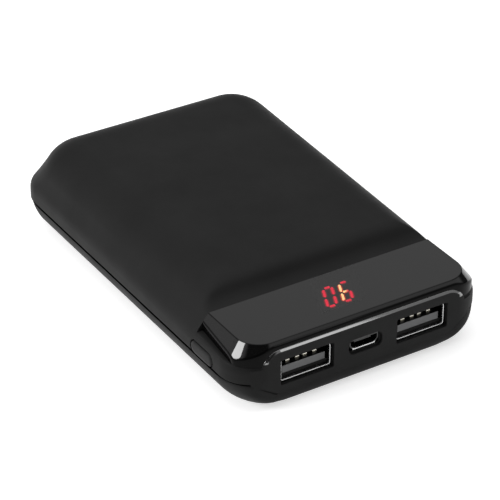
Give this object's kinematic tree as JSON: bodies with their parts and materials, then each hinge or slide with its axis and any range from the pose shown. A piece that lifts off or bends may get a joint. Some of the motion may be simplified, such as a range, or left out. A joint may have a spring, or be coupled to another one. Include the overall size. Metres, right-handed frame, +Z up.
{
  "type": "power bank",
  "caption": "Pocket power bank: soft-edged two-part case, glossy display window, USB-A output sockets, a micro-USB charging socket and a side push button.",
  "frame": {"origin": "centre of the flat base, on the surface that the part lies on", "axes": "+X to the right seen from the socket end, +Y from the sockets to the rear, +Z up from the base"},
  "size_m": [0.0667, 0.103, 0.0234],
  "materials": {
    "matte_case": "fine matte, lightly textured",
    "gloss_window": "high gloss",
    "button_plastic": "matte",
    "nickel_shell": "nickel plated",
    "usb_insulator": "moulded",
    "micro_insulator": "moulded",
    "gold_contact": "gold plated",
    "circuit_board": "solder mask",
    "switch_steel": "pressed",
    "switch_plastic": "moulded",
    "screw_steel": "zinc plated",
    "display_case": "moulded",
    "lit_segment": "lit red bars",
    "cell_foil": "laminated foil",
    "foam": "closed-cell foam",
    "tab_nickel": "spot-welded nickel",
    "wire_red": "silicone",
    "wire_black": "silicone",
    "ferrite": "sintered",
    "chip": "moulded epoxy",
    "capacitor": "sintered"
  },
  "bodies": {
    "housing": {"upper_shell": "matte_case", "lower_shell": "matte_case", "window_cap": "gloss_window", "switch_body": "switch_steel", "main_board": "circuit_board", "board_screws": "screw_steel", "usb_shell_left": "nickel_shell", "usb_tongue_left": "usb_insulator", "usb_contacts_left": "gold_contact", "usb_shell_right": "nickel_shell", "usb_tongue_right": "usb_insulator", "usb_contacts_right": "gold_contact", "micro_usb_shell": "nickel_shell", "micro_usb_tongue": "micro_insulator", "micro_usb_contacts": "gold_contact", "display_body": "display_case", "display_segments": "lit_segment", "cell_lower": "cell_foil", "cell_upper": "cell_foil", "cell_pads": "foam", "cell_tabs": "tab_nickel", "protection_board": "circuit_board", "lead_red": "wire_red", "lead_black": "wire_black", "power_inductor": "ferrite", "controller_chip": "chip", "ceramic_capacitors": "capacitor"},
    "button": {"power_button": "button_plastic"},
    "plunger": {"switch_plunger": "switch_plastic"}
  },
  "joints": [
    {"name": "button_press", "type": "slide", "parent": "housing", "child": "button", "axis": [1, 0, 0], "range_m": [0, 0.0004], "stiffness_N_per_m": 600},
    {"name": "plunger_press", "type": "slide", "parent": "housing", "child": "plunger", "axis": [1, 0, 0], "range_m": [0, 0.0004]}
  ],
  "couplings": [
    {"joint": "plunger_press", "follows": "button_press", "ratio": 1}
  ]
}
